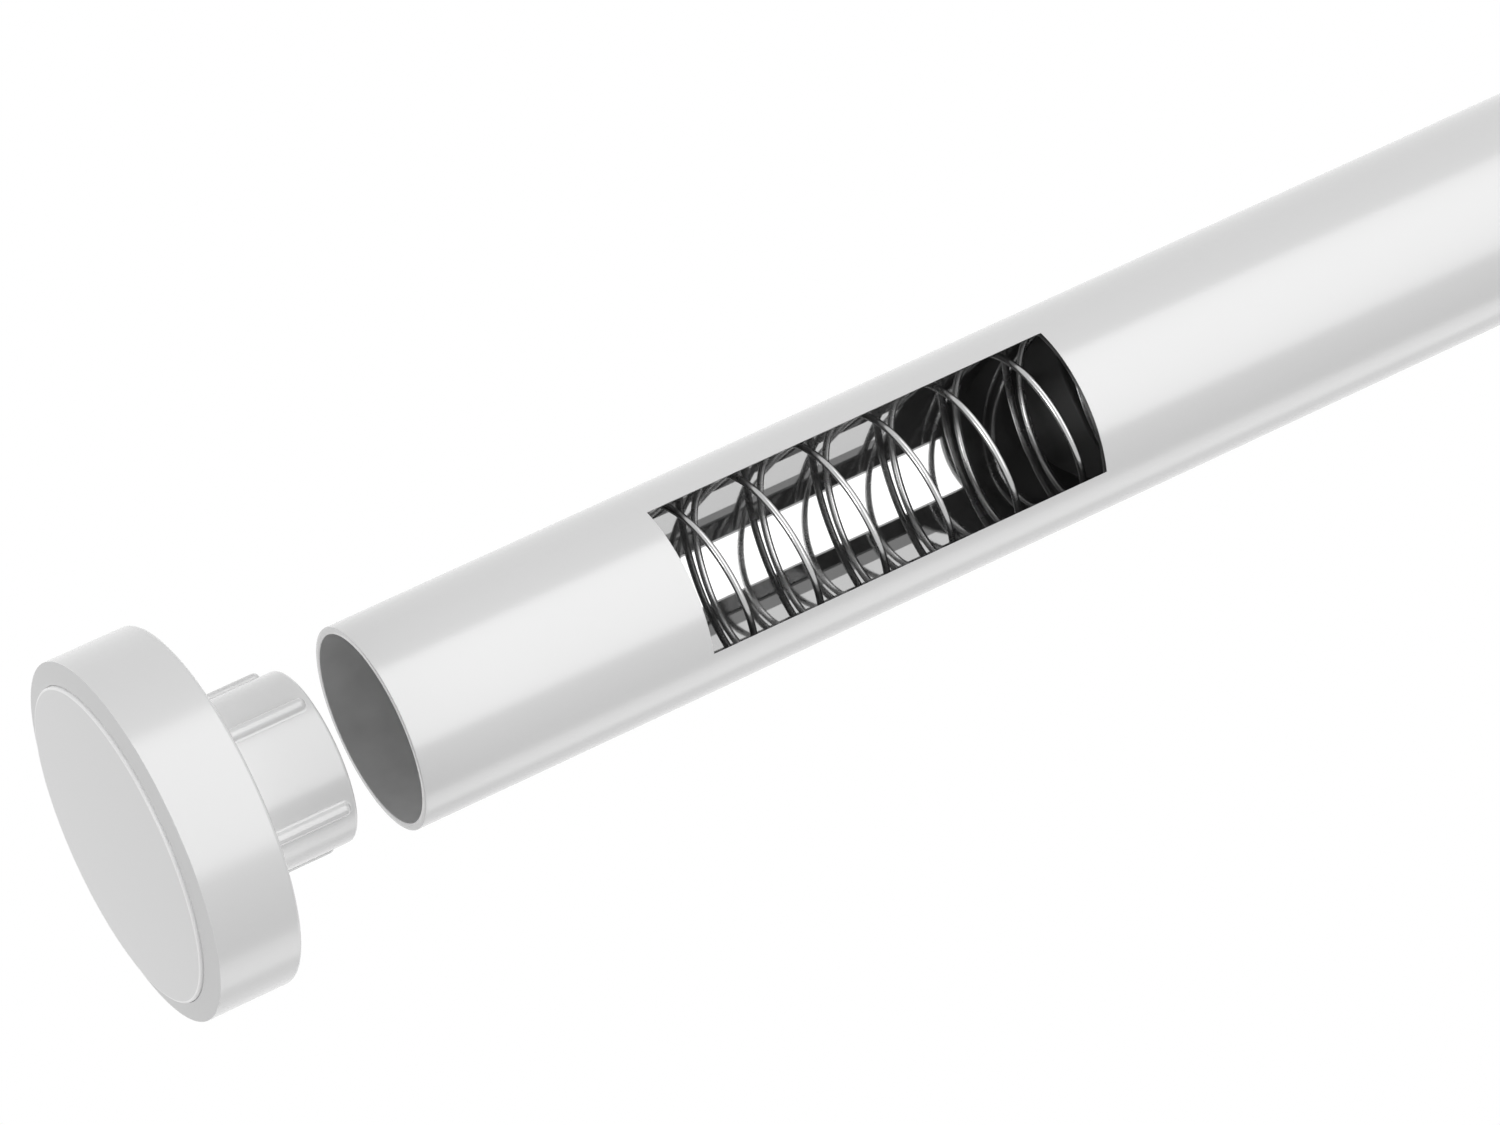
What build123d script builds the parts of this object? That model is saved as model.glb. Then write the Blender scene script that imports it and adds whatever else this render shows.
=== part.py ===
from build123d import *
import os
from math import cos, radians, sin

# Spring tension rod: a wide tube with a compression spring inside, and a narrow tube that
# screws in and out of it, with a round padded cap on each end.
# The left cap stands pulled off the wide tube, and a quarter of that tube's wall is cut
# away over one stretch, so that the spring shows.
# Frame: the origin is the middle of the left pad's wall face, +X runs along the rod and
# +Z is up. Angles round the rod start at the front (-Y) and rise through the top (+Z).

# Wide tube
tube_diameter = 28.0
tube_wall = 1.0
tube_length = 325.0

# Window cut in the wide tube
window_offset = 42.2  # from the tube's mouth to the window
window_length = 59.0
window_middle_angle = 55.6
window_span = 90.0

# Caps
disc_diameter = 49.0
disc_rim_length = 11.6
bevel_depth = 1.1
bevel_width = 2.95
moulding_wall = 2.4

# Ribbed plug of the left cap
plug_length = 15.2
plug_clearance = 1.25  # plug body to the tube's bore
rib_count = 5
rib_first_angle = 14.0
rib_width = 1.7
rib_fit = 0.05  # rib crest to the tube's bore
rib_setback = 1.1  # from the plug's end to the rib's end
rib_crest_bevel = 0.4
cap_gap = 8.35  # from the plug's end to the tube's mouth, with the cap pulled off

# Wall pads
pad_proud = 0.65
pad_recess_depth = 1.2
pad_fit = 0.15

# Seat for the spring's left end, pressed into the wide tube
stop_depth = 26.0  # from the tube's mouth to the seat's open end
stop_length = 9.0
press_gap = 0.03
spigot_length = 6.0
spigot_clearance = 0.3  # to the inside of the coils

# Compression spring, wound right-handed
wire_diameter = 0.95
coil_clearance = 1.25  # outside of the coils to the tube's bore
coil_pitch = 9.95
active_turns = 8.0
closed_turns = 1.0
closed_turn_gap = 0.02
coil_top_offset = 4.8  # from the window's left edge to a coil's highest point
seat_gap = 0.1

# Slider that the spring pushes on
slider_length = 14.0
slider_fit = 0.08
rod_engagement = 12.0

# Threaded rod with its nuts and washers
rod_diameter = 8.0
rod_clearance = 0.1
nut_flats = 13.0
nut_height = 6.5
washer_diameter = 16.0
washer_thickness = 1.6
rod_tip_length = 2.0

# Travel of the narrow tube along the threaded rod, from where it stands
screw_in_travel = 50.0
screw_out_travel = 100.0
travel_margin = 2.0

# Nut piece pressed into the narrow tube's inner end
travelling_nut_flange = 4.0
travelling_nut_body = 22.0
travelling_nut_fit = 0.08

# Narrow tube
tube_slip = 0.5  # between the two tubes
inner_tube_wall = 1.0
stand_out = 95.0  # how far the narrow tube stands out of the wide one

# Collar on the wide tube's open end
collar_wall = 1.25
collar_cover = 10.0
collar_lip = 2.5
collar_lip_clearance = 0.15

# Swivel of the right cap
bush_body = 18.0
bush_flange = 2.5
swivel_gap = 0.3
pivot_diameter = 12.0
pivot_clearance = 0.05
swivel_washer_diameter = 18.0
swivel_washer_thickness = 1.2
screw_diameter = 3.9
screw_clearance = 0.05
screw_depth = 12.0
screw_head_diameter = 7.5
screw_head_height = 2.4

# Radii that follow
tube_radius = tube_diameter / 2
bore_radius = tube_radius - tube_wall
disc_radius = disc_diameter / 2
recess_radius = disc_radius - bevel_width
pad_radius = recess_radius - pad_fit
plug_radius = bore_radius - plug_clearance
plug_bore_radius = plug_radius - moulding_wall
rib_crest = bore_radius - rib_fit
rib_shoulder = rib_crest - rib_crest_bevel
rib_nose = rib_width / 2
coil_radius = bore_radius - coil_clearance - wire_diameter / 2
spigot_radius = coil_radius - wire_diameter / 2 - spigot_clearance
slider_radius = bore_radius - slider_fit
rod_radius = rod_diameter / 2
inner_tube_radius = bore_radius - tube_slip
inner_bore_radius = inner_tube_radius - inner_tube_wall
inner_press_radius = inner_bore_radius - press_gap
pivot_radius = pivot_diameter / 2
screw_radius = screw_diameter / 2

# Places along the rod, from the left wall to the right
x_left_face = pad_proud
x_cap_floor = x_left_face + pad_recess_depth + moulding_wall
x_left_back = x_left_face + bevel_depth + disc_rim_length
x_plug_end = x_left_back + plug_length
x_mouth = x_plug_end + cap_gap
x_window = x_mouth + window_offset
x_tube_end = x_mouth + tube_length
x_stop = x_mouth + stop_depth
x_stop_seat = x_stop + stop_length
x_coil_start = x_stop_seat + seat_gap + wire_diameter / 2
closed_pitch = wire_diameter + closed_turn_gap
x_coil_end = x_coil_start + active_turns * coil_pitch + 2 * closed_turns * closed_pitch
x_slider_seat = x_coil_end + wire_diameter / 2 + seat_gap
x_slider_end = x_slider_seat + slider_length
x_rod_start = x_slider_end - rod_engagement
x_travelling_nut = x_slider_end + washer_thickness + nut_height + travel_margin + screw_in_travel
x_inner_start = x_travelling_nut + travelling_nut_flange
x_travelling_nut_end = x_inner_start + travelling_nut_body
x_stop_washer = x_travelling_nut_end + screw_out_travel + travel_margin
x_rod_end = x_stop_washer + washer_thickness + nut_height + rod_tip_length
x_inner_end = x_tube_end + stand_out
x_right_back = x_inner_end + bush_flange + swivel_gap
x_right_face = x_right_back + disc_rim_length + bevel_depth
x_right_wall = x_right_face + pad_proud
x_pivot_end = x_inner_end - bush_body - swivel_gap


def across(x):
    """Plane square to the rod: sketch X points to the rear, sketch Y up, extrusions to +X."""
    return Plane(origin=(x, 0, 0), x_dir=(0, 1, 0), z_dir=(1, 0, 0))


def polar(angle, radius):
    """Sketch point on a plane square to the rod, at an angle round it from the front."""
    return (-radius * cos(radians(angle)), radius * sin(radians(angle)))


def disc_outline(x_face, inward):
    """Half section of a cap's disc, from the floor of its recess to the back of its rim."""
    x_floor = x_face + inward * pad_recess_depth
    x_rim = x_face + inward * bevel_depth
    x_back = x_rim + inward * disc_rim_length
    return [
        (x_floor, 0),
        (x_floor, recess_radius),
        (x_face, recess_radius),
        (x_rim, disc_radius),
        (x_back, disc_radius),
    ]


pieces = {}

# Left cap: bevelled disc with a hollow plug, which grips the tube's bore by long ribs with
# a round nose and a bevelled crest
with BuildPart() as end_cap_left:
    with BuildSketch(Plane.XZ):
        with BuildLine():
            Polyline(
                *disc_outline(x_left_face, 1),
                (x_left_back, plug_radius),
                (x_plug_end, plug_radius),
                (x_plug_end, 0),
                close=True,
            )
        make_face()
    revolve(axis=Axis.X)
    x_nose = x_plug_end - rib_setback - rib_nose
    rib_body = x_nose - x_left_back + rib_crest_bevel  # its root reaches into the disc
    for index in range(rib_count):
        out_y, out_z = polar(rib_first_angle + index * 360 / rib_count, 1)
        for foot, height, taper in ((0, rib_shoulder, 0), (rib_shoulder, rib_crest_bevel, 45)):
            rib_plane = Plane(
                origin=(x_nose, foot * out_y, foot * out_z), x_dir=(1, 0, 0), z_dir=(0, out_y, out_z)
            )
            with BuildSketch(rib_plane):
                Circle(rib_nose)
                with Locations((-rib_body, 0)):
                    Rectangle(rib_body, rib_width, align=(Align.MIN, Align.CENTER))
            extrude(amount=height, taper=taper)
    with BuildSketch(across(x_plug_end)):
        Circle(plug_bore_radius)
    extrude(amount=x_cap_floor - x_plug_end, mode=Mode.SUBTRACT)
pieces["end_cap_left"] = end_cap_left

# Wide tube, with the window cut through its front upper quarter
with BuildPart() as outer_tube:
    with BuildSketch(across(x_mouth)):
        Circle(tube_radius)
        Circle(bore_radius, mode=Mode.SUBTRACT)
    extrude(amount=tube_length)
    window_edges = [window_middle_angle + side * window_span / 2 for side in (-1, 0, 1)]
    with BuildSketch(across(x_window)):
        with BuildLine():
            Polyline((0, 0), *[polar(angle, 2 * tube_radius) for angle in window_edges], close=True)
        make_face()
    extrude(amount=window_length, mode=Mode.SUBTRACT)
pieces["outer_tube"] = outer_tube

# Seat for the spring's left end: a plug with a spigot inside the first coils
with BuildPart() as spring_stop:
    with BuildSketch(across(x_stop)):
        Circle(bore_radius - press_gap)
    extrude(amount=stop_length)
    with BuildSketch(across(x_stop_seat)):
        Circle(spigot_radius)
    extrude(amount=spigot_length)
pieces["spring_stop"] = spring_stop

# Spring: a closed turn at each end and open coils between, along one joined helix. Its wire
# has four flats, square to the rod and along it, that touch the round of the real wire.
x_active_start = x_coil_start + closed_turns * closed_pitch
turns_to_top = (x_window + coil_top_offset - x_active_start) / coil_pitch
first_angle = 180 - 90 - 360 * (turns_to_top + closed_turns)
helix_edges = []
x_run = x_coil_start
angle = first_angle
for turns, pitch in ((closed_turns, closed_pitch), (active_turns, coil_pitch), (closed_turns, closed_pitch)):
    outward = (0, cos(radians(angle)), sin(radians(angle)))
    start = Plane(origin=(x_run, 0, 0), x_dir=outward, z_dir=(1, 0, 0))
    helix_edges += (start * Helix(pitch=pitch, height=pitch * turns, radius=coil_radius)).edges()
    x_run += pitch * turns
    angle += 360 * turns
coil_path = Wire(helix_edges)
first_outward = (0, cos(radians(first_angle)), sin(radians(first_angle)))
with BuildPart() as compression_spring:
    with BuildSketch(Plane(origin=coil_path @ 0, x_dir=first_outward, z_dir=coil_path % 0)):
        Rectangle(wire_diameter, wire_diameter)
    sweep(path=coil_path, is_frenet=True)
pieces["compression_spring"] = compression_spring

# Slider: a piston on the spring's right end, with a spigot inside the last coils
with BuildPart() as spring_slider:
    with BuildSketch(across(x_slider_seat)):
        Circle(slider_radius)
    extrude(amount=slider_length)
    with BuildSketch(across(x_slider_seat)):
        Circle(spigot_radius)
    extrude(amount=-spigot_length)
    with BuildSketch(across(x_rod_start)):
        Circle(rod_radius)
    extrude(amount=rod_engagement, mode=Mode.SUBTRACT)
pieces["spring_slider"] = spring_slider

# Threaded rod, shown as the plain cylinder of its outside diameter
with BuildPart() as threaded_rod:
    with BuildSketch(across(x_rod_start)):
        Circle(rod_radius)
    extrude(amount=x_rod_end - x_rod_start)
pieces["threaded_rod"] = threaded_rod

# Washer and nut behind the slider, and the same pair at the rod's tip that stops the travel
with BuildPart() as rod_washers:
    for x in (x_slider_end, x_stop_washer):
        with BuildSketch(across(x)):
            Circle(washer_diameter / 2)
            Circle(rod_radius + rod_clearance, mode=Mode.SUBTRACT)
        extrude(amount=washer_thickness)
pieces["rod_washers"] = rod_washers

with BuildPart() as rod_nuts:
    for x in (x_slider_end + washer_thickness, x_stop_washer + washer_thickness):
        with BuildSketch(across(x)):
            RegularPolygon(nut_flats / 2, 6, major_radius=False)
            Circle(rod_radius, mode=Mode.SUBTRACT)
        extrude(amount=nut_height)
pieces["rod_nuts"] = rod_nuts

# Nut piece that runs along the rod: its flange slides in the wide tube's bore
with BuildPart() as travelling_nut:
    with BuildSketch(across(x_travelling_nut)):
        Circle(bore_radius - travelling_nut_fit)
    extrude(amount=travelling_nut_flange)
    with BuildSketch(across(x_inner_start)):
        Circle(inner_press_radius)
    extrude(amount=travelling_nut_body)
    with BuildSketch(across(x_travelling_nut)):
        Circle(rod_radius + rod_clearance)
    extrude(amount=travelling_nut_flange + travelling_nut_body, mode=Mode.SUBTRACT)
pieces["travelling_nut"] = travelling_nut

# Narrow tube, from the nut piece's flange to the right cap's bush
with BuildPart() as inner_tube:
    with BuildSketch(across(x_inner_start)):
        Circle(inner_tube_radius)
        Circle(inner_bore_radius, mode=Mode.SUBTRACT)
    extrude(amount=x_inner_end - x_inner_start)
pieces["inner_tube"] = inner_tube

# Collar that covers the wide tube's open end and guides the narrow tube in its lip
with BuildPart() as tube_collar:
    with BuildSketch(across(x_tube_end - collar_cover)):
        Circle(tube_radius + collar_wall)
    extrude(amount=collar_cover + collar_lip)
    with BuildSketch(across(x_tube_end - collar_cover)):
        Circle(tube_radius + press_gap)
    extrude(amount=collar_cover, mode=Mode.SUBTRACT)
    with BuildSketch(across(x_tube_end)):
        Circle(inner_tube_radius + collar_lip_clearance)
    extrude(amount=collar_lip, mode=Mode.SUBTRACT)
pieces["tube_collar"] = tube_collar

# Flanged bush pressed into the narrow tube, in which the right cap's pivot turns
with BuildPart() as swivel_bush:
    with BuildSketch(across(x_inner_end)):
        Circle(inner_tube_radius)
    extrude(amount=bush_flange)
    with BuildSketch(across(x_inner_end)):
        Circle(inner_press_radius)
    extrude(amount=-bush_body)
    with BuildSketch(across(x_inner_end + bush_flange)):
        Circle(pivot_radius + pivot_clearance)
    extrude(amount=-(bush_flange + bush_body), mode=Mode.SUBTRACT)
pieces["swivel_bush"] = swivel_bush

# Right cap: the same disc, with a round pivot in place of the plug
with BuildPart() as end_cap_right:
    with BuildSketch(Plane.XZ):
        with BuildLine():
            Polyline(
                *disc_outline(x_right_face, -1),
                (x_right_back, pivot_radius),
                (x_pivot_end, pivot_radius),
                (x_pivot_end, screw_radius + screw_clearance),
                (x_pivot_end + screw_depth, screw_radius + screw_clearance),
                (x_pivot_end + screw_depth, 0),
                close=True,
            )
        make_face()
    revolve(axis=Axis.X)
pieces["end_cap_right"] = end_cap_right

# Washer and screw that hold the pivot in the bush
with BuildPart() as swivel_washer:
    with BuildSketch(across(x_pivot_end - swivel_washer_thickness)):
        Circle(swivel_washer_diameter / 2)
        Circle(screw_radius + screw_clearance, mode=Mode.SUBTRACT)
    extrude(amount=swivel_washer_thickness)
pieces["swivel_washer"] = swivel_washer

x_head = x_pivot_end - swivel_washer_thickness
with BuildPart() as swivel_screw:
    with BuildSketch(across(x_head)):
        Circle(screw_head_diameter / 2)
    extrude(amount=-screw_head_height)
    with BuildSketch(across(x_head)):
        Circle(screw_radius)
    extrude(amount=swivel_washer_thickness + screw_depth - 1)
pieces["swivel_screw"] = swivel_screw

# Round rubber pads, each in its cap's recess and a little proud of it
for name, x_wall, inward in (("wall_pad_left", 0, 1), ("wall_pad_right", x_right_wall, -1)):
    with BuildPart() as wall_pad:
        with BuildSketch(across(x_wall)):
            Circle(pad_radius)
        extrude(amount=inward * (pad_proud + pad_recess_depth))
    pieces[name] = wall_pad

os.makedirs("parts", exist_ok=True)
for name, piece in pieces.items():
    piece.part.label = name
    export_step(piece.part, f"parts/{name}.step")
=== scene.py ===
from math import asin, atan2, copysign, cos, degrees, hypot, pi, radians, sin

import bmesh
import bpy
from mathutils import Matrix, Vector


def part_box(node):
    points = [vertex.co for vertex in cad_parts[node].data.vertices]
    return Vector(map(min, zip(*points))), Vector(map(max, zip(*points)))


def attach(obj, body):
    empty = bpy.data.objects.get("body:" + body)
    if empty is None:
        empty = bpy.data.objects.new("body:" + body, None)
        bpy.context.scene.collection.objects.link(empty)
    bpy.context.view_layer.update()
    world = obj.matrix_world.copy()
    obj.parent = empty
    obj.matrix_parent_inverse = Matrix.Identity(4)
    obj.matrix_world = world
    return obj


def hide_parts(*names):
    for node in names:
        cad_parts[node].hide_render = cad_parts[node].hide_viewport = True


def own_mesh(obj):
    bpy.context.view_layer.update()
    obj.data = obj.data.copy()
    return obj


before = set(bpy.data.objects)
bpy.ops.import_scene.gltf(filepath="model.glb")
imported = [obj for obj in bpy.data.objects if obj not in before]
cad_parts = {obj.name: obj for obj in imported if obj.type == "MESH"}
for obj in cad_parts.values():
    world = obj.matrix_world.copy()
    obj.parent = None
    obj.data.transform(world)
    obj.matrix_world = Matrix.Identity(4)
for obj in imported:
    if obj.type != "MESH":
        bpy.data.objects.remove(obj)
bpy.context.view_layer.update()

# Sizes are in millimetres, and MM turns them to metres. +X runs along the rod.
# Angles round the rod start at the front (-Y) and rise through the top (+Z).
MM = 0.001


def extent(node):
    """A node's start and end along the rod, and its radius, in millimetres."""
    low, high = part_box(node)
    return low[0] / MM, high[0] / MM, high[2] / MM


mouth, tube_end, tube_radius = extent("outer_tube")
left_face, plug_end, disc_radius = extent("end_cap_left")
left_wall, left_pad_back = extent("wall_pad_left")[:2]
right_pad_back, right_wall = extent("wall_pad_right")[:2]
spring_start, spring_end, coil_outside = extent("compression_spring")
stop_start, stop_end, stop_radius = extent("spring_stop")
slider_start, slider_end, slider_radius = extent("spring_slider")
rod_start, rod_end, rod_radius = extent("threaded_rod")
nut_start, nut_end, nut_radius = extent("travelling_nut")
inner_start, inner_end, inner_radius = extent("inner_tube")
collar_start, collar_end, collar_radius = extent("tube_collar")
bush_start, bush_end = extent("swivel_bush")[:2]
pivot_end, right_face = extent("end_cap_right")[:2]
washer_start, washer_end, washer_radius = extent("swivel_washer")
screw_start, screw_end, screw_head_radius = extent("swivel_screw")

# Wide tube and its window
tube_wall = 1.0
bore_radius = tube_radius - tube_wall
window_offset = 42.2
window_length = 59.0
window_middle_angle = 55.6
window_span = 90.0
overspray_depth = 20

# Discs of the caps, and the pads in them
disc_rim_length = 11.6
bevel_depth = 1.1
bevel_width = 2.95
recess_edge_drop = 0.4
pad_recess_depth = 1.2
pad_gap = 0.05
pad_crown = 0.6
pad_crown_steps = 8
pad_edge_round = 0.3
pad_edge_radius = disc_radius - bevel_width - pad_gap

# Ribbed plug of the left cap
moulding_wall = 2.4
plug_radius = 11.75
rib_count = 5
rib_first_angle = 14.0
rib_width = 1.7
rib_crest = 12.95
rib_setback = 1.1
rib_root_blend = 0.3
rib_root_depth = 0.4
rib_overlap = 0.5
rib_blend_steps = 4
rib_crest_steps = 7
rib_outline_segments = 32

# Spring and the two spigots that it sits on
wire_diameter = 0.95
wire_segments = 16
closed_turns = 1.0
active_turns = 8.0
closed_turn_gap = 0.02
coil_steps = 72
coil_top_offset = 4.8
spigot_length = 6.0
spigot_radius = 10.5
stop_seat = stop_end - spigot_length
slider_seat = slider_start + spigot_length

# Threaded rod and what runs on it
rod_clearance = 0.1
thread_pitch = 2.0
thread_lead = 8.0
thread_depth = 0.9
thread_steps = 48

# Narrow tube, collar and swivel
inner_wall = 1.0
press_gap = 0.03
inner_bore_radius = inner_radius - inner_wall
inner_press_radius = inner_bore_radius - press_gap
collar_gap = 0.03
collar_clearance = 0.15
pivot_radius = 6.0
pivot_hole = 6.05
screw_clearance = 0.05
screw_shank_radius = 1.95
screw_head_height = 2.4
screw_depth = 12.0

# Roundings of the edges, from a crease in a mould to the head of a screw
crease_round = 0.05
bevel_round = 0.06
burr_round = 0.1
pad_back_round = 0.15
slight_round = 0.2
nut_round = 0.25
small_round = 0.3
middle_round = 0.4
large_round = 0.5
lead_in_round = 0.6
screw_tip_round = 0.8
screw_head_round = 1.4

# How finely shapes are turned, which corners stay sharp, and how close points are merged
ROUND_STEPS = 180
ROUNDING_SEGMENTS = 4
SOFT_SEGMENTS = 2
CREASE_ANGLE = radians(35)
WINDOW_EDGE_ANGLE = radians(60)
NUT_EDGE_ANGLE = radians(30)
MERGE_DISTANCE = 1e-6
ROUND_OFF = 1e-6

# Sockets that share their name with others, by number: a colour mix, and a shader mix
MIX_A, MIX_B, MIX_RESULT = 6, 7, 2
SHARE, SHADER_A, SHADER_B = 0, 1, 2


def linear(code):
    """Scene linear colour of an sRGB hex code such as "#E8E8E8"."""
    parts = [int(code[i:i + 2], 16) / 255 for i in (1, 3, 5)]
    return [c / 12.92 if c <= 0.04045 else ((c + 0.055) / 1.055) ** 2.4 for c in parts] + [1.0]


def add_node(tree, kind, settings=None, links=None):
    """Adds a node with its settings, and its inputs' values or the sockets that feed them."""
    node = tree.nodes.new(kind)
    for key, value in (settings or {}).items():
        setattr(node, key, value)
    for key, value in (links or {}).items():
        if isinstance(value, bpy.types.NodeSocket):
            tree.links.new(value, node.inputs[key])
        else:
            node.inputs[key].default_value = value
    return node


def start_material(name):
    """A material with an empty node tree, and its Object coordinates in metres."""
    material = bpy.data.materials.new(name)
    material.use_nodes = True
    tree = material.node_tree
    tree.nodes.clear()
    place = add_node(tree, "ShaderNodeTexCoord").outputs["Object"]
    return material, tree, place


def finish_material(tree, surface):
    """Joins the surface shader to the material's output."""
    add_node(tree, "ShaderNodeOutputMaterial", links={"Surface": surface.outputs["BSDF"]})


def powder_coat(name, code, roughness):
    """Semi-gloss powder coat, sprayed and baked on steel: smooth, with a faint orange peel."""
    peel_size = 1.2 * MM
    peel_depth = 0.02 * MM
    material, tree, place = start_material(name)
    peel = add_node(tree, "ShaderNodeTexNoise", links={
        "Vector": place, "Scale": 1 / peel_size, "Detail": 1.0})
    bump = add_node(tree, "ShaderNodeBump", links={
        "Height": peel.outputs["Fac"], "Strength": 0.02, "Distance": peel_depth})
    surface = add_node(tree, "ShaderNodeBsdfPrincipled", links={
        "Base Color": linear(code), "Roughness": roughness, "IOR": 1.6, "Coat Weight": 1.0,
        "Coat Roughness": roughness, "Normal": bump.outputs["Normal"]})
    finish_material(tree, surface)
    return material


def moulded_plastic(name, code, roughness, gloss=0.0):
    """Injection moulded plastic: an even colour, and the fine grain of a spark-eroded mould."""
    grain_size = 0.25 * MM
    grain_depth = 0.01 * MM
    material, tree, place = start_material(name)
    grain = add_node(tree, "ShaderNodeTexNoise", links={
        "Vector": place, "Scale": 1 / grain_size, "Detail": 2.0})
    bump = add_node(tree, "ShaderNodeBump", links={
        "Height": grain.outputs["Fac"], "Strength": 0.03, "Distance": grain_depth})
    surface = add_node(tree, "ShaderNodeBsdfPrincipled", links={
        "Base Color": linear(code), "Roughness": roughness, "IOR": 1.55, "Coat Weight": gloss,
        "Coat Roughness": roughness, "Normal": bump.outputs["Normal"]})
    finish_material(tree, surface)
    return material


def pad_silicone(name, code, painted_highlight_code, rim_radius):
    """Silicone rubber, pressed in a finely blasted mould: even, with a painted highlight, a white
    line painted round its edge.
    """
    rim_blend = 0.1
    grain_size = 0.4 * MM
    grain_depth = 0.02 * MM
    material, tree, place = start_material(name)
    parts = add_node(tree, "ShaderNodeSeparateXYZ", links={"Vector": place})
    flat = add_node(tree, "ShaderNodeCombineXYZ", links={
        "Y": parts.outputs["Y"], "Z": parts.outputs["Z"]})
    radius = add_node(
        tree, "ShaderNodeVectorMath", settings={"operation": "LENGTH"}, links={0: flat.outputs[0]})
    # Painted highlight: the colour fades to white over the last part of the radius before the
    # pad's edge
    rim = add_node(tree, "ShaderNodeMapRange", links={
        "Value": radius.outputs["Value"], "From Min": (rim_radius - rim_blend) * MM,
        "From Max": rim_radius * MM})
    colour = add_node(tree, "ShaderNodeMix", settings={"data_type": "RGBA"}, links={
        "Factor": rim.outputs["Result"], MIX_A: linear(code), MIX_B: linear(painted_highlight_code)})
    grain = add_node(tree, "ShaderNodeTexNoise", links={
        "Vector": place, "Scale": 1 / grain_size, "Detail": 3.0})
    bump = add_node(tree, "ShaderNodeBump", links={
        "Height": grain.outputs["Fac"], "Strength": 0.05, "Distance": grain_depth})
    surface = add_node(tree, "ShaderNodeBsdfPrincipled", links={
        "Base Color": colour.outputs[MIX_RESULT], "Roughness": 0.35, "IOR": 1.45,
        "Normal": bump.outputs["Normal"]})
    finish_material(tree, surface)
    return material


def plated_steel(name, code, roughness):
    """Zinc or nickel plated steel, drawn or cut before plating: metal with faint cloudy wear."""
    cloud_size = 3 * MM
    smoothest, roughest = roughness * 0.8, roughness * 1.3
    material, tree, place = start_material(name)
    cloud = add_node(tree, "ShaderNodeTexNoise", links={
        "Vector": place, "Scale": 1 / cloud_size, "Detail": 3.0})
    wear = add_node(tree, "ShaderNodeMapRange", links={
        "Value": cloud.outputs["Fac"], "To Min": smoothest, "To Max": roughest})
    surface = add_node(tree, "ShaderNodeBsdfPrincipled", links={
        "Base Color": linear(code), "Metallic": 1.0, "Roughness": wear.outputs["Result"]})
    finish_material(tree, surface)
    return material


def tube_bore(name, steel_code, thin_code, thick_code, overspray_end):
    """Bright drawn steel under a film of oil, which mirrors, and cloudy overspray at the mouth."""
    fade_length = 4
    cloud_size = 5 * MM
    material, tree, place = start_material(name)
    along = add_node(tree, "ShaderNodeSeparateXYZ", links={"Vector": place}).outputs["X"]
    bare = add_node(
        tree, "ShaderNodeMapRange", settings={"interpolation_type": "SMOOTHSTEP"}, links={
            "Value": along, "From Min": (overspray_end - fade_length) * MM,
            "From Max": overspray_end * MM})
    steel = add_node(tree, "ShaderNodeBsdfPrincipled", links={
        "Base Color": linear(steel_code), "Metallic": 0.92, "Roughness": 0.04})
    cloud = add_node(tree, "ShaderNodeTexNoise", links={
        "Vector": place, "Scale": 1 / cloud_size, "Detail": 2.0})
    skin = add_node(tree, "ShaderNodeMix", settings={"data_type": "RGBA"}, links={
        "Factor": cloud.outputs["Fac"], MIX_A: linear(thin_code), MIX_B: linear(thick_code)})
    overspray = add_node(tree, "ShaderNodeBsdfPrincipled", links={
        "Base Color": skin.outputs[MIX_RESULT], "Roughness": 0.35, "IOR": 1.5})
    mixed = add_node(tree, "ShaderNodeMixShader", links={
        SHARE: bare.outputs["Result"], SHADER_A: overspray.outputs["BSDF"],
        SHADER_B: steel.outputs["BSDF"]})
    add_node(tree, "ShaderNodeOutputMaterial", links={"Surface": mixed.outputs["Shader"]})
    return material


# White powder coat and white moulded ABS look alike, with one broad soft gleam along the rod
white_coat = powder_coat("white_powder_coat", "#E6E6E6", 0.24)
white_abs = moulded_plastic("white_abs", "#E6E6E6", 0.24, gloss=1.0)
# The same ABS from a blasted part of the mould, matt, and painted a shade darker: a flat grey ring
# of painted shade round the pad
matt_shaded_abs = moulded_plastic("matt_white_abs_painted_shade", "#DCDCDC", 0.6)
# Pale rubber with a painted highlight: a white line painted along its edge
pad_rubber = pad_silicone(
    "pale_silicone_rubber_painted_highlight", "#E3E3E3", "#FFFFFF", pad_edge_radius - pad_edge_round)
# A dark mirror inside the tube, and the clean edge that the window's cutter left
bore_steel = tube_bore("tube_bore", "#B0B0B0", "#E0E0E0", "#FFFFFF", mouth + overspray_depth)
cut_steel = plated_steel("cut_steel_edge", "#909090", 0.3)
# Grey wire with a thin bright line along each turn
spring_wire = plated_steel("bright_spring_wire", "#B8B8B8", 0.25)
# Plain inner mouldings, matt, and the duller steel of the rod and its fasteners
black_nylon = moulded_plastic("black_nylon", "#0A0A0A", 0.5)
grey_acetal = moulded_plastic("grey_acetal", "#A8A8A8", 0.5)
pale_acetal = moulded_plastic("pale_acetal", "#DEDDD8", 0.4)
zinc_steel = plated_steel("zinc_plated_steel", "#B9BBBD", 0.3)


def on_rod(x, angle, radius):
    """The point at a place along the rod, an angle round it and a radius, in metres."""
    return x * MM, -radius * cos(radians(angle)) * MM, radius * sin(radians(angle)) * MM


def angle_round(point):
    """A point's angle round the rod."""
    return degrees(atan2(point.z, -point.y))


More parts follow.
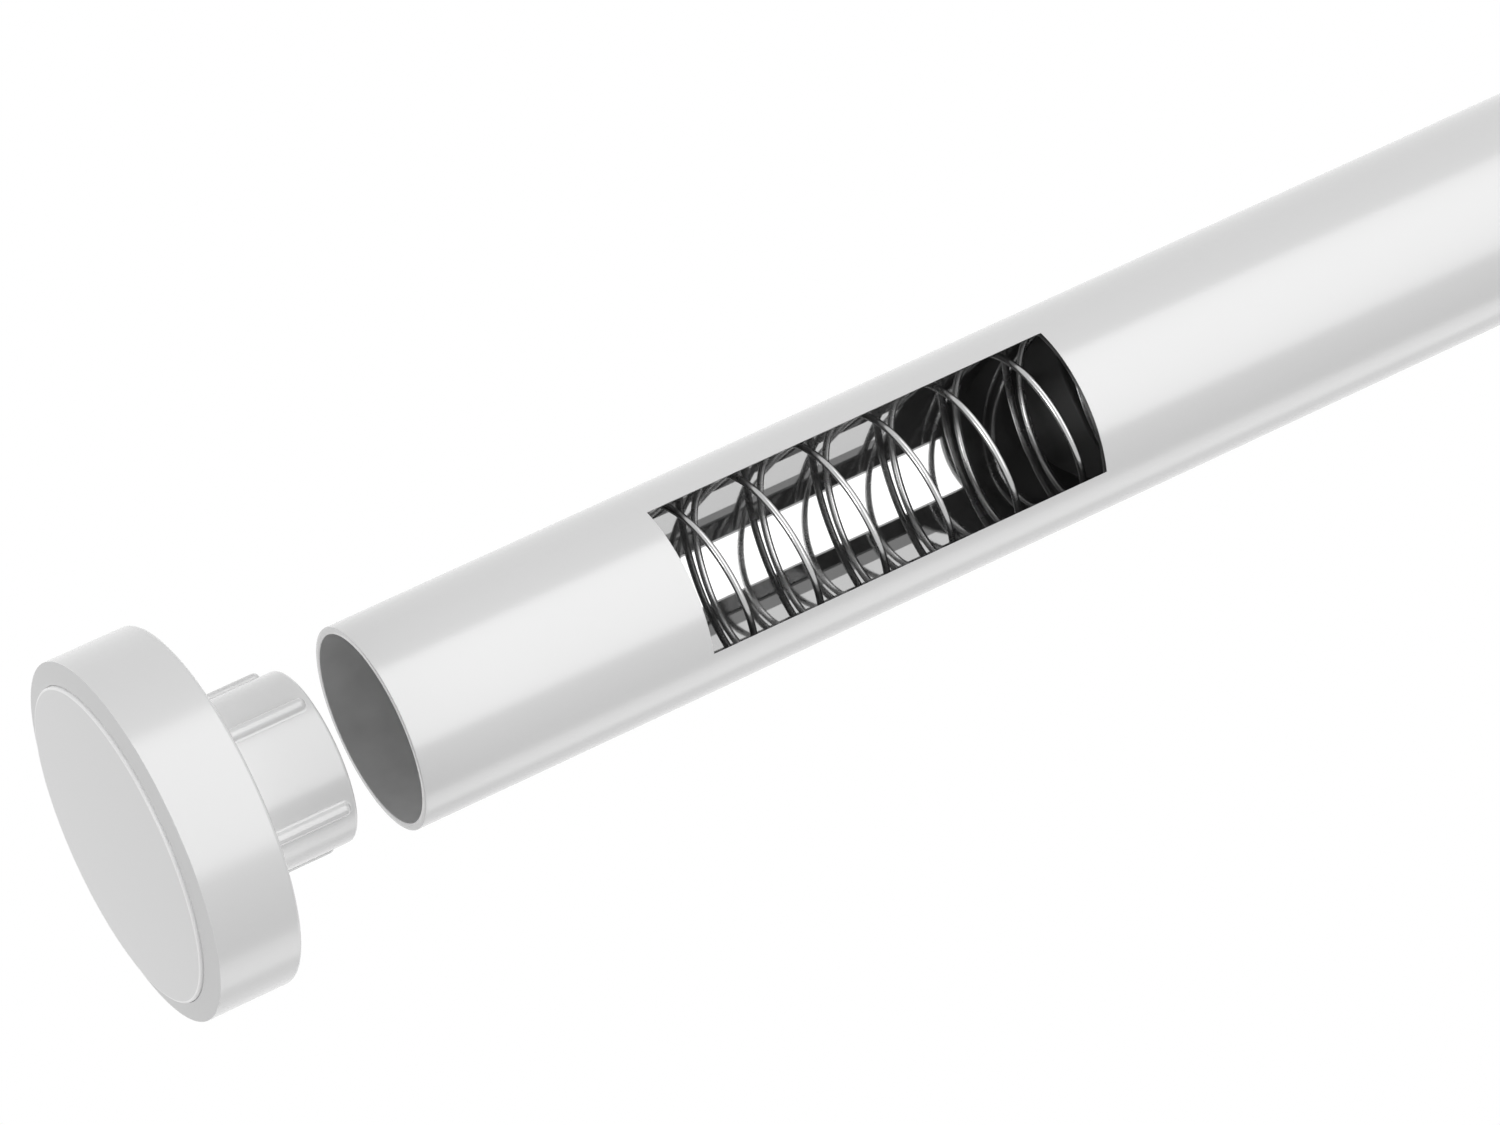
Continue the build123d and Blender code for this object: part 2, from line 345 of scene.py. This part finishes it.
def add_piece(name, mesh, material, body, node, flat_normals=True):
    """Makes a finished mesh a piece that rides on its body and stands for its node."""
    bmesh.ops.recalc_face_normals(mesh, faces=mesh.faces)
    data = bpy.data.meshes.new(name)
    mesh.to_mesh(data)
    mesh.free()
    for face in data.polygons:
        face.use_smooth = True
    data.set_sharp_from_angle(angle=CREASE_ANGLE)
    data.materials.append(material)
    piece = bpy.data.objects.new(name, data)
    bpy.context.scene.collection.objects.link(piece)
    if flat_normals:
        normals = piece.modifiers.new("flat_faces_keep_their_normals", "WEIGHTED_NORMAL")
        normals.keep_sharp = True
    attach(piece, body)
    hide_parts(node)
    return piece


def spin_round(mesh):
    """Turns all that a mesh holds once round the rod's axis."""
    bmesh.ops.spin(
        mesh, geom=list(mesh.verts) + list(mesh.edges), cent=(0, 0, 0), axis=(1, 0, 0),
        angle=2 * pi, steps=ROUND_STEPS, use_merge=True)


def turn(mesh, outline, closed=False):
    """Turns an outline of (x, radius, rounding) round the rod's axis, in a mesh."""
    corners = [mesh.verts.new((x * MM, 0, radius * MM)) for x, radius, _ in outline]
    pairs = list(zip(corners, corners[1:] + corners[:1]))
    for pair in (pairs if closed else pairs[:-1]):
        mesh.edges.new(pair)
    for corner, (_, _, rounding) in zip(corners, outline):
        if rounding:
            bmesh.ops.bevel(
                mesh, geom=[corner], offset=rounding * MM, offset_type="OFFSET",
                affect="VERTICES", segments=ROUNDING_SEGMENTS, profile=0.5, material=-1)
    spin_round(mesh)
    bmesh.ops.remove_doubles(mesh, verts=mesh.verts, dist=MERGE_DISTANCE)


def turned_piece(name, outline, material, body, node, closed=False):
    """A piece turned from one outline, which stands for its node."""
    mesh = bmesh.new()
    turn(mesh, outline, closed)
    add_piece(name, mesh, material, body, node)


def disc_outline(face, inward):
    """Outline of a cap's disc, from the floor of its recess to the back of its rim."""
    rim = face + inward * bevel_depth
    return [
        (face + inward * pad_recess_depth, 0, 0),
        (face + inward * pad_recess_depth, disc_radius - bevel_width, 0),
        (face + inward * recess_edge_drop, disc_radius - bevel_width, crease_round),
        (rim, disc_radius, bevel_round),
        (rim + inward * disc_rim_length, disc_radius, large_round),
    ]


def rib_levels():
    """Half width and height of a rib's outline, from inside the plug's wall up to its crest."""
    half = rib_width / 2
    foot = half + rib_root_blend
    levels = [(foot, plug_radius - rib_root_depth)]
    for step in range(rib_blend_steps + 1):
        lean = pi / 2 * step / rib_blend_steps
        levels.append((
            foot - rib_root_blend * sin(lean), plug_radius + rib_root_blend * (1 - cos(lean))))
    for step in range(rib_crest_steps):
        lean = pi / 2 * step / rib_crest_steps
        levels.append((half * cos(lean), rib_crest - half * (1 - sin(lean))))
    return levels


def add_rib(mesh, angle, back):
    """Adds one rib to the cap, drawn up level by level to a ball nose and a half-round crest."""
    nose = plug_end - rib_setback - rib_width / 2
    outline = bmesh.ops.create_circle(
        mesh, cap_ends=False, radius=1, segments=rib_outline_segments)["verts"]
    place = {vert: vert.co.copy() for vert in outline}
    edges = list({edge for vert in outline for edge in vert.link_edges})
    for level, (half_width, height) in enumerate(rib_levels()):
        if level:
            under = set(outline)
            drawn = bmesh.ops.extrude_edge_only(mesh, edges=edges)["geom"]
            fresh = {item for item in drawn if isinstance(item, bmesh.types.BMVert)}
            for vert in fresh:
                others = (edge.other_vert(vert) for edge in vert.link_edges)
                place[vert] = place[next(other for other in others if other in under)]
            drawn_edges = [item for item in drawn if isinstance(item, bmesh.types.BMEdge)]
            edges = [edge for edge in drawn_edges if set(edge.verts) <= fresh]
            outline = list(fresh)
        for vert in outline:
            across = place[vert]
            on_nose = across.x > -ROUND_OFF
            along = nose + half_width * across.x if on_nose else back - rib_overlap
            vert.co = Vector((along, half_width * across.y, height)) * MM
    whole = list(place)
    rims = {edge for vert in whole for edge in vert.link_edges if edge.is_boundary}
    bmesh.ops.holes_fill(mesh, edges=list(rims))
    swing = Matrix.Rotation(radians(90 - angle), 3, "X")
    bmesh.ops.rotate(mesh, verts=whole, cent=(0, 0, 0), matrix=swing)


def add_cap(name, mesh, body, node, face):
    """A cap, glossy as moulded, with the bevel round its face left matt and given painted shade, a
    darker grey.
    """
    facing = 0.7
    piece = add_piece(name, mesh, white_abs, body, node)
    piece.data.materials.append(matt_shaded_abs)
    for part in piece.data.polygons:
        middle = part.center / MM
        on_ring = hypot(middle.y, middle.z) > disc_radius - bevel_width
        if on_ring and abs(middle.x - face) < bevel_depth and abs(part.normal.x) > facing:
            # The bevel takes the matt ABS, whose darker grey is painted shade
            part.material_index = 1


def make_left_cap():
    """Left cap: the disc and its hollow plug in one turning, with five half-round ribs."""
    back = left_face + bevel_depth + disc_rim_length
    floor = left_face + pad_recess_depth + moulding_wall
    mesh = bmesh.new()
    turn(mesh, disc_outline(left_face, 1) + [
        (back, plug_radius, small_round),
        (plug_end, plug_radius, large_round),
        (plug_end, plug_radius - moulding_wall, slight_round),
        (floor, plug_radius - moulding_wall, large_round),
        (floor, 0, 0),
    ])
    for index in range(rib_count):
        add_rib(mesh, rib_first_angle + index * 360 / rib_count, back)
    add_cap("left_cap_moulding", mesh, "left_cap", "end_cap_left", left_face)


def make_right_cap():
    """Right cap: the same disc with a round pivot, and the pilot hole of its screw."""
    back = right_face - bevel_depth - disc_rim_length
    hole = screw_shank_radius + screw_clearance
    mesh = bmesh.new()
    turn(mesh, disc_outline(right_face, -1) + [
        (back, pivot_radius, small_round),
        (pivot_end, pivot_radius, small_round),
        (pivot_end, hole, 0),
        (pivot_end + screw_depth, hole, 0),
        (pivot_end + screw_depth, 0, 0),
    ])
    add_cap("right_cap_moulding", mesh, "right_cap", "end_cap_right", right_face)


def square_window_sides(mesh):
    """Moves the bore's points round, so that the window's long sides run parallel."""
    near_bore = 0.1
    near_side = 0.01
    half_outside = window_span / 2
    half_inside = degrees(asin(tube_radius * sin(radians(half_outside)) / bore_radius))
    for vert in mesh.verts:
        if hypot(vert.co.y, vert.co.z) < (bore_radius + near_bore) * MM:
            off = (angle_round(vert.co) - window_middle_angle + 180) % 360 - 180
            if abs(off) <= half_outside + near_side:
                moved = abs(off) * half_inside / half_outside
            else:
                moved = 180 - (180 - abs(off)) * (180 - half_inside) / (180 - half_outside)
            angle = window_middle_angle + copysign(moved, off)
            _, vert.co.y, vert.co.z = on_rod(0, angle, bore_radius)


def make_outer_tube():
    """Wide tube: its wall turned as a ring section, its window cut out and its edges softened."""
    skin = 0.02
    end_margin = 1
    window_start = mouth + window_offset
    window_end = window_start + window_length
    first_angle = window_middle_angle - window_span / 2
    last_angle = first_angle + window_span
    mesh = bmesh.new()
    stations = [mouth, window_start, window_end, tube_end]
    section = [(x, tube_radius) for x in stations] + [(x, bore_radius) for x in reversed(stations)]
    corners = [mesh.verts.new(on_rod(x, first_angle, radius)) for x, radius in section]
    for pair in zip(corners, corners[1:] + corners[:1]):
        mesh.edges.new(pair)
    spin_round(mesh)
    cut = []
    for face in mesh.faces:
        middle = face.calc_center_median() / MM
        in_length = window_start < middle.x < window_end
        if in_length and first_angle < angle_round(middle) < last_angle:
            cut.append(face)
    bmesh.ops.delete(mesh, geom=cut, context="FACES")
    square_window_sides(mesh)
    bmesh.ops.bridge_loops(mesh, edges=[edge for edge in mesh.edges if edge.is_boundary])
    bmesh.ops.recalc_face_normals(mesh, faces=mesh.faces)
    sharp = [edge for edge in mesh.edges if edge.calc_face_angle(0) > WINDOW_EDGE_ANGLE]
    bmesh.ops.bevel(
        mesh, geom=sharp, offset=burr_round * MM, offset_type="OFFSET", affect="EDGES",
        segments=SOFT_SEGMENTS, profile=0.5, material=-1)
    piece = add_piece("wide_tube_wall", mesh, white_coat, "wide_tube", "outer_tube")
    piece.data.materials.append(bore_steel)
    piece.data.materials.append(cut_steel)
    for face in piece.data.polygons:
        middle = face.center / MM
        radius = hypot(middle.y, middle.z)
        between_ends = mouth + end_margin < middle.x < tube_end - end_margin
        if radius < bore_radius + skin:
            face.material_index = 1
        elif radius < tube_radius - skin and between_ends:
            face.material_index = 2


def make_spring():
    """Spring: round wire spun along the rod, a closed turn at each end and open coils between."""
    wire_radius = wire_diameter / 2
    mean_radius = coil_outside - wire_radius
    first_x = spring_start + wire_radius
    closed_pitch = wire_diameter + closed_turn_gap
    closed_length = closed_turns * closed_pitch
    open_length = spring_end - wire_radius - first_x - 2 * closed_turns * closed_pitch
    open_pitch = open_length / active_turns
    to_top = (mouth + window_offset + coil_top_offset - first_x - closed_length) / open_pitch
    first_angle = 90 + 360 * (to_top + closed_turns)
    mesh = bmesh.new()
    wire = bmesh.ops.create_circle(
        mesh, cap_ends=True, radius=wire_radius * MM, segments=wire_segments)["verts"]
    slope = Matrix.Rotation(atan2(open_pitch / 2, 2 * pi * mean_radius), 4, "Y")
    face_along = Matrix.Rotation(radians(180 - first_angle), 4, "X")
    stand = Matrix.Translation(on_rod(first_x, first_angle, mean_radius))
    bmesh.ops.transform(mesh, verts=wire, matrix=stand @ face_along @ slope)
    last = list(mesh.faces) + list(mesh.edges) + list(mesh.verts)
    closed_run = (closed_turns, closed_pitch)
    for turns, pitch in (closed_run, (active_turns, open_pitch), closed_run):
        steps = int(turns * coil_steps)
        last = bmesh.ops.spin(
            mesh, geom=last, cent=(0, 0, 0), axis=(1, 0, 0),
            dvec=(pitch * turns / steps * MM, 0, 0), angle=2 * pi * turns,
            steps=steps)["geom_last"]
    return add_piece(
        "spring_wire", mesh, spring_wire, "wide_tube", "compression_spring", flat_normals=False)


def make_threaded_rod():
    """Threaded rod: a four-start trapezoidal thread, spun along one lead and cut off square."""
    root = rod_radius - thread_depth
    flat = thread_pitch / 8
    tooth = ((0, root), (3 * flat, root), (4 * flat, rod_radius), (7 * flat, rod_radius))
    mesh = bmesh.new()
    corners = []
    x = rod_start - thread_lead
    while x < rod_end:
        for along, radius in tooth:
            corners.append(mesh.verts.new(((x + along) * MM, 0, radius * MM)))
        x += thread_pitch
    for pair in zip(corners, corners[1:]):
        mesh.edges.new(pair)
    bmesh.ops.spin(
        mesh, geom=list(mesh.verts) + list(mesh.edges), cent=(0, 0, 0), axis=(1, 0, 0),
        angle=2 * pi, steps=thread_steps, dvec=(thread_lead / thread_steps * MM, 0, 0))
    bmesh.ops.remove_doubles(mesh, verts=mesh.verts, dist=MERGE_DISTANCE)
    for x, outward in ((rod_start, -1), (rod_end, 1)):
        bmesh.ops.bisect_plane(
            mesh, geom=list(mesh.verts) + list(mesh.edges) + list(mesh.faces),
            plane_co=(x * MM, 0, 0), plane_no=(outward, 0, 0), clear_outer=True)
    bmesh.ops.holes_fill(mesh, edges=[edge for edge in mesh.edges if edge.is_boundary])
    add_piece("threaded_rod_steel", mesh, zinc_steel, "screw", "threaded_rod", flat_normals=False)


def pad_outline(wall, back):
    """Outline of a pad, from the middle of its crowned face to its back."""
    inward = copysign(1, back - wall)
    crown = [
        (wall + inward * pad_crown * (step / pad_crown_steps) ** 2,
         pad_edge_radius * step / pad_crown_steps, 0)
        for step in range(pad_crown_steps)
    ]
    return crown + [
        (wall + inward * pad_crown, pad_edge_radius, pad_edge_round),
        (back, pad_edge_radius, pad_back_round),
        (back, 0, 0),
    ]


make_left_cap()
make_right_cap()
make_outer_tube()
spring = make_spring()
make_threaded_rod()
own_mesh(spring)

# The other pieces, each turned from its outline
turned_piece(
    "left_pad_rubber", pad_outline(left_wall, left_pad_back), pad_rubber, "left_cap",
    "wall_pad_left")
turned_piece(
    "right_pad_rubber", pad_outline(right_wall, right_pad_back), pad_rubber, "right_cap",
    "wall_pad_right")
turned_piece("spring_seat", [
    (stop_start, 0, 0),
    (stop_start, stop_radius, middle_round),
    (stop_seat, stop_radius, small_round),
    (stop_seat, spigot_radius, 0),
    (stop_end, spigot_radius, lead_in_round),
    (stop_end, 0, 0),
], grey_acetal, "wide_tube", "spring_stop")
turned_piece("slider_piston", [
    (slider_start, 0, 0),
    (slider_start, spigot_radius, lead_in_round),
    (slider_seat, spigot_radius, 0),
    (slider_seat, slider_radius, middle_round),
    (slider_end, slider_radius, middle_round),
    (slider_end, rod_radius, 0),
    (rod_start, rod_radius, 0),
    (rod_start, 0, 0),
], black_nylon, "screw", "spring_slider")
turned_piece("travelling_nut_body", [
    (nut_start, rod_radius + rod_clearance, middle_round),
    (nut_start, nut_radius, middle_round),
    (inner_start, nut_radius, slight_round),
    (inner_start, inner_press_radius, 0),
    (nut_end, inner_press_radius, lead_in_round),
    (nut_end, rod_radius + rod_clearance, middle_round),
], pale_acetal, "narrow_tube", "travelling_nut", closed=True)
turned_piece("narrow_tube_wall", [
    (inner_start, inner_bore_radius, burr_round),
    (inner_start, inner_radius, burr_round),
    (inner_end, inner_radius, burr_round),
    (inner_end, inner_bore_radius, burr_round),
], white_coat, "narrow_tube", "inner_tube", closed=True)
turned_piece("collar_moulding", [
    (collar_start, tube_radius + collar_gap, 0),
    (collar_start, collar_radius, small_round),
    (collar_end, collar_radius, large_round),
    (collar_end, inner_radius + collar_clearance, small_round),
    (tube_end, inner_radius + collar_clearance, 0),
    (tube_end, tube_radius + collar_gap, 0),
], white_abs, "wide_tube", "tube_collar", closed=True)
turned_piece("swivel_bush_body", [
    (bush_start, pivot_hole, small_round),
    (bush_start, inner_press_radius, lead_in_round),
    (inner_end, inner_press_radius, 0),
    (inner_end, inner_radius, burr_round),
    (bush_end, inner_radius, small_round),
    (bush_end, pivot_hole, small_round),
], pale_acetal, "narrow_tube", "swivel_bush", closed=True)
turned_piece("swivel_washer_steel", [
    (washer_start, screw_shank_radius + screw_clearance, burr_round),
    (washer_start, washer_radius, small_round),
    (washer_end, washer_radius, burr_round),
    (washer_end, screw_shank_radius + screw_clearance, burr_round),
], zinc_steel, "right_cap", "swivel_washer", closed=True)
turned_piece("swivel_screw_steel", [
    (screw_start, 0, 0),
    (screw_start, screw_head_radius, screw_head_round),
    (screw_start + screw_head_height, screw_head_radius, burr_round),
    (screw_start + screw_head_height, screw_shank_radius, 0),
    (screw_end, screw_shank_radius, screw_tip_round),
    (screw_end, 0, 0),
], zinc_steel, "right_cap", "swivel_screw")

# The washers and nuts on the rod are shown as they come, with their edges softened
for node in ("rod_washers", "rod_nuts"):
    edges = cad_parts[node].modifiers.new("softened_edges", "BEVEL")
    edges.width = nut_round * MM
    edges.segments = SOFT_SEGMENTS
    edges.limit_method = "ANGLE"
    edges.angle_limit = NUT_EDGE_ANGLE

for material, nodes in (
    (white_abs, ("end_cap_left", "end_cap_right", "tube_collar")),
    (white_coat, ("outer_tube", "inner_tube")),
    (pad_rubber, ("wall_pad_left", "wall_pad_right")),
    (spring_wire, ("compression_spring",)),
    (grey_acetal, ("spring_stop",)),
    (black_nylon, ("spring_slider",)),
    (pale_acetal, ("travelling_nut", "swivel_bush")),
    (zinc_steel, ("threaded_rod", "rod_washers", "rod_nuts", "swivel_washer", "swivel_screw")),
):
    for node in nodes:
        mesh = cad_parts[node].data
        mesh.materials.clear()
        mesh.materials.append(material)


def stand_at(place, across, up, back):
    """The matrix of a camera or lamp at a place, with its X, Y and Z along three directions."""
    return Matrix.Translation(place) @ Matrix((across, up, back)).transposed().to_4x4()


# Camera, fitted to the photograph
focal_length = 201.83
sensor_width = 36
camera_reach = 10
camera_place = Vector((-272.779, -600.860, 814.377)) * MM
camera_right = Vector((0.85434, -0.51972, 0))
camera_up = Vector((0.39367, 0.64714, 0.65287))

scene = bpy.context.scene
scene.view_settings.view_transform = "Standard"
camera_data = bpy.data.cameras.new("camera")
camera_data.sensor_width = sensor_width
camera_data.lens = focal_length
camera_data.clip_end = camera_reach
camera = bpy.data.objects.new("camera", camera_data)
scene.collection.objects.link(camera)
camera.matrix_world = stand_at(
    camera_place, camera_right, camera_up, camera_right.cross(camera_up))
scene.camera = camera


def add_softbox(name, towards, width, height, radiance):
    """A softbox in one direction from the rod, its width along the rod and its height across."""
    distance = 3.0
    aim = Vector((0.15, 0, 0))
    towards = Vector(towards).normalized()
    data = bpy.data.lights.new(name, "AREA")
    data.shape = "RECTANGLE"
    data.size = width
    data.size_y = height
    data.energy = radiance * pi * width * height
    lamp = bpy.data.objects.new(name, data)
    scene.collection.objects.link(lamp)
    side = towards.cross(Vector((1, 0, 0))).cross(towards).normalized()
    lamp.matrix_world = stand_at(aim + towards * distance, side, towards.cross(side), towards)


# The key stands where the white coat's middle mirrors it to the camera, the fill lights the pad
# and the tube's mouth, and the low panel draws the pale band under the coat's front
add_softbox("key_softbox", (0.383, -0.45, 0.806), 1.6, 5.7, 2.25)
add_softbox("left_fill", (-0.9, -0.25, 0.35), 1.1, 1.1, 7.8)
add_softbox("low_panel", (0.383, -0.488, -0.784), 1.6, 1.3, 1.0)

# World: white behind the object and in what it mirrors, and a plain studio for the light,
# brightest from behind, less from the floor, and least from the front and the top
studio_levels = (
    (-180, 0.8), (-140, 0.8), (-100, 0.5), (-60, 0.45), (-20, 0.2),
    (20, 0.22), (60, 0.25), (100, 0.26), (140, 0.45), (180, 0.8),
)
world = bpy.data.worlds.new("studio")
scene.world = world
world.use_nodes = True
tree = world.node_tree
tree.nodes.clear()
path = add_node(tree, "ShaderNodeLightPath")
gaze = add_node(tree, "ShaderNodeTexCoord").outputs["Generated"]
parts = add_node(tree, "ShaderNodeSeparateXYZ", links={"Vector": gaze})
front = add_node(tree, "ShaderNodeMath", settings={"operation": "MULTIPLY"}, links={
    0: parts.outputs["Y"], 1: -1.0})
around = add_node(tree, "ShaderNodeMath", settings={"operation": "ARCTAN2"}, links={
    0: parts.outputs["Z"], 1: front.outputs[0]})
share = add_node(tree, "ShaderNodeMapRange", links={
    "Value": around.outputs[0], "From Min": -pi, "From Max": pi, "To Min": 0.0, "To Max": 1.0})
bands = add_node(tree, "ShaderNodeValToRGB", links={"Fac": share.outputs["Result"]})
stops = bands.color_ramp.elements
while len(stops) < len(studio_levels):
    stops.new(0.5)
for stop, (angle, level) in zip(stops, studio_levels):
    stop.position = (angle + 180) / 360
    stop.color = (level, level, level, 1)
studio = add_node(tree, "ShaderNodeBackground", links={
    "Color": bands.outputs["Color"], "Strength": 1.0})
backdrop = add_node(tree, "ShaderNodeBackground", links={
    "Color": (1, 1, 1, 1), "Strength": 1.0})
mirrored = add_node(tree, "ShaderNodeMath", settings={"operation": "MAXIMUM"}, links={
    0: path.outputs["Is Glossy Ray"], 1: path.outputs["Is Transmission Ray"]})
seen = add_node(tree, "ShaderNodeMath", settings={"operation": "MAXIMUM"}, links={
    0: path.outputs["Is Camera Ray"], 1: mirrored.outputs[0]})
mixed = add_node(tree, "ShaderNodeMixShader", links={
    SHARE: seen.outputs[0], SHADER_A: studio.outputs["Background"],
    SHADER_B: backdrop.outputs["Background"]})
add_node(tree, "ShaderNodeOutputWorld", links={"Surface": mixed.outputs["Shader"]})
